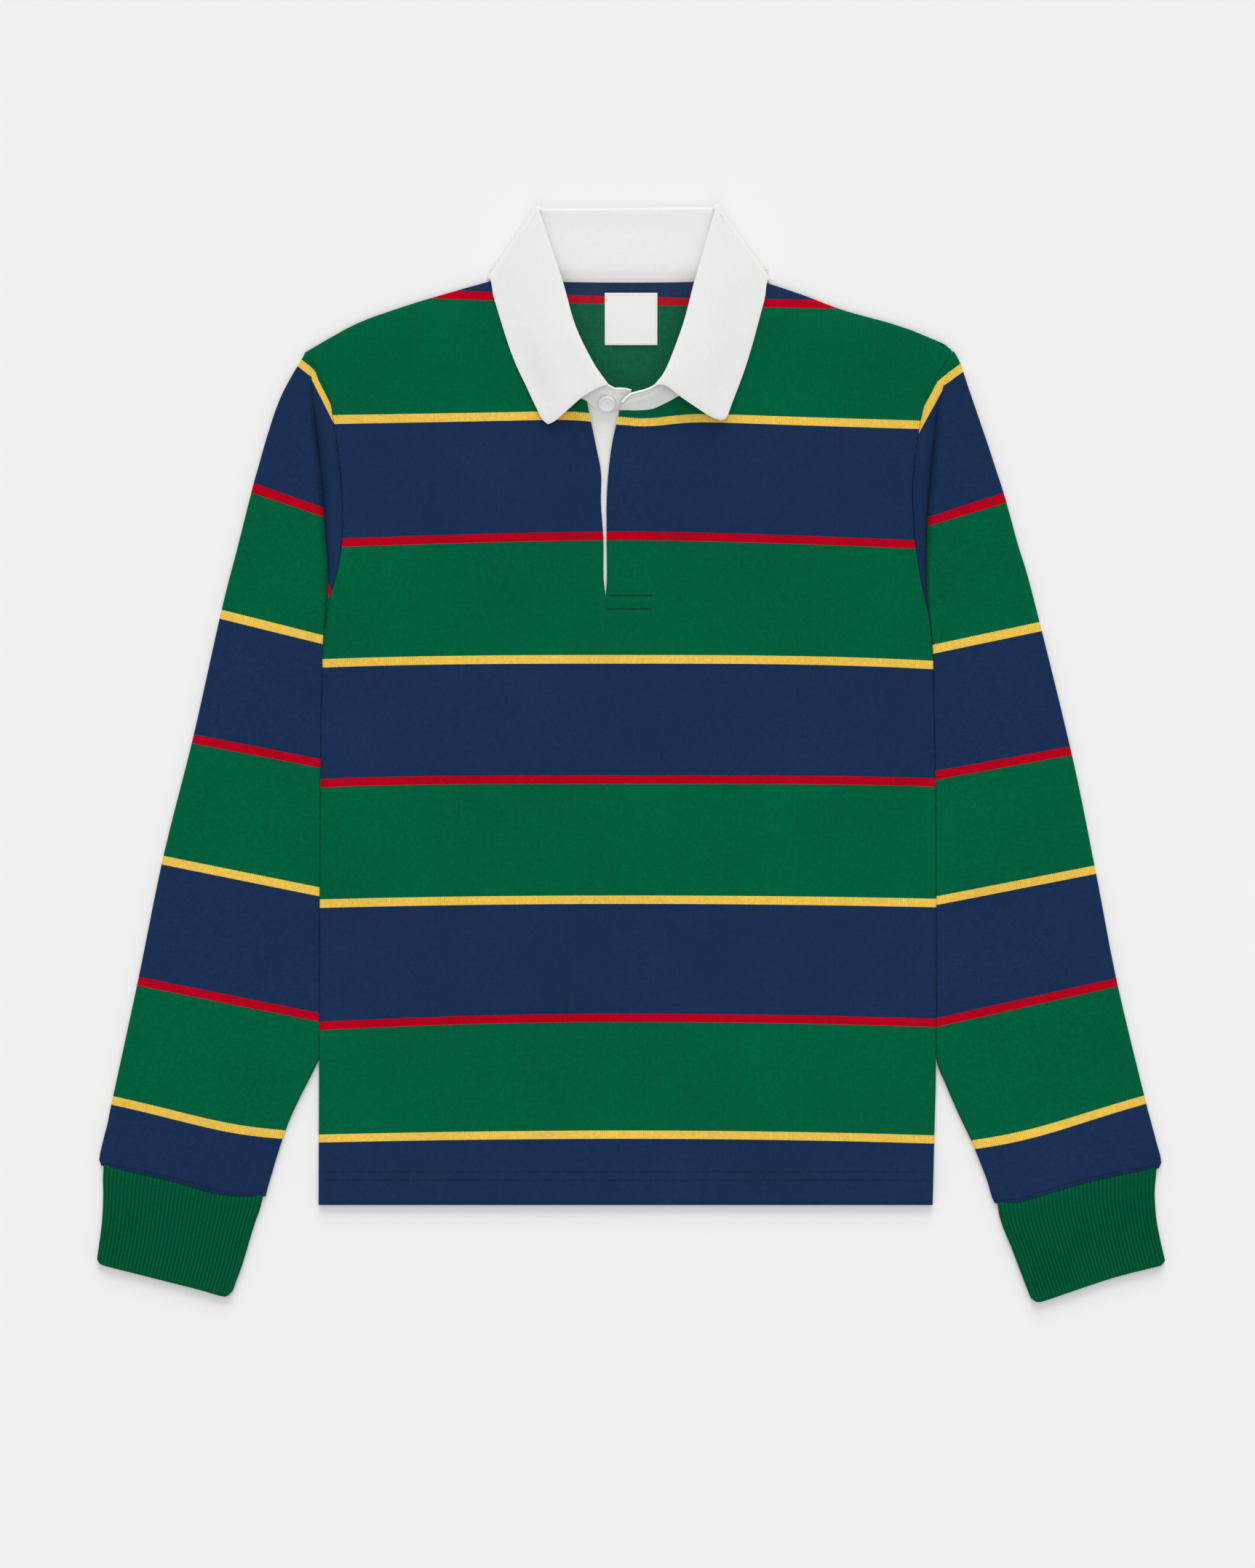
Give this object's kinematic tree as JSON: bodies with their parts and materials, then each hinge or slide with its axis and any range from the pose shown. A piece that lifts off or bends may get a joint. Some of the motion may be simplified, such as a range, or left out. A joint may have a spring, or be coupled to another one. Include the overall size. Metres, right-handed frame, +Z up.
{
  "type": "rugby shirt",
  "caption": "Long-sleeved striped knit shirt with a white turned-down collar, a short neck slit and ribbed cuffs, laid flat on its back with its neck button undone.",
  "frame": {"origin": "centre of the shirt's bounding box on the plane it lies on", "axes": "+X towards the wearer's left sleeve, +Y from the hem to the collar, +Z up through the front of the shirt"},
  "size_m": [0.7918, 0.814, 0.021],
  "materials": {
    "striped_jersey": "matte knit, navy and green bands with thin red and yellow stripes",
    "green_rib": "matte rib knit",
    "white_twill": "matte twill",
    "white_rubber": "satin"
  },
  "bodies": {
    "root": {"back_panel": "striped_jersey", "front_panel": "striped_jersey", "sleeve_left": "striped_jersey", "sleeve_right": "striped_jersey", "cuff_left": "green_rib", "cuff_right": "green_rib", "collar_fall": "white_twill", "collar_stand": "white_twill", "placket_under": "white_twill", "neck_label": "white_twill", "neck_button": "white_rubber"}
  },
  "joints": []
}
